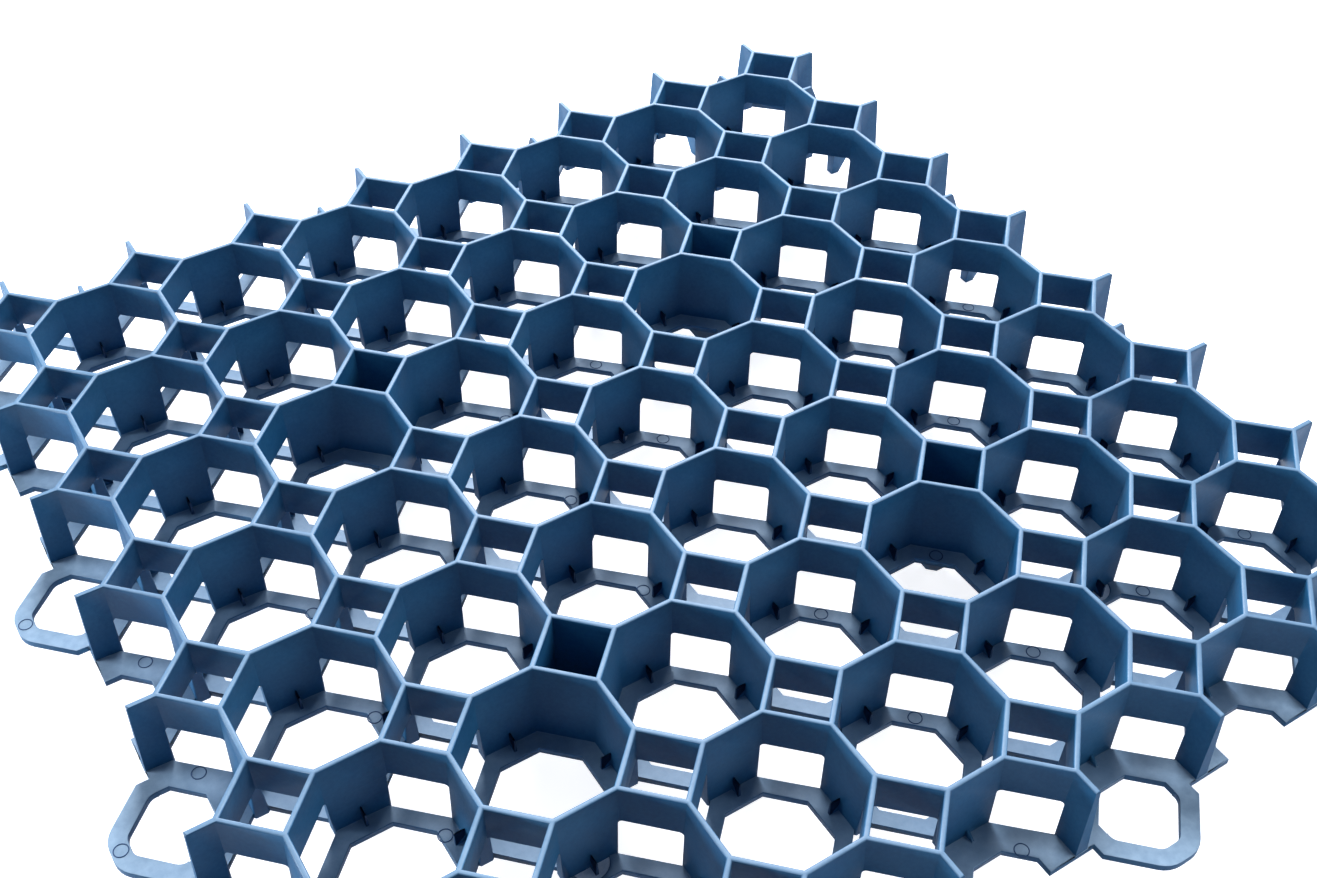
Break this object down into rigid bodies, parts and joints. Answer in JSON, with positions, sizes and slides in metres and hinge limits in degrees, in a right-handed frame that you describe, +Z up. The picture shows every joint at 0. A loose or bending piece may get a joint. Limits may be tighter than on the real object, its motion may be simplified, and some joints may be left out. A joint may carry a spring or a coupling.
{
  "type": "grass paver",
  "caption": "Square plastic ground grid of open eight-sided and square cells, with edge loops, hooks and spikes that lock panels together.",
  "frame": {"origin": "middle of the whole outline in plan, at the tips of the spikes", "axes": "+Z up from the spikes to the rims; +X and +Y along the two rows of cells, towards the edges that carry the loops; the hooks are on the -X and -Y edges"},
  "size_m": [0.529, 0.529, 0.066],
  "materials": {
    "moulded_polymer": "injection-moulded, matt, dark slate blue"
  },
  "bodies": {
    "root": {"paver_grid": "moulded_polymer"}
  },
  "joints": []
}
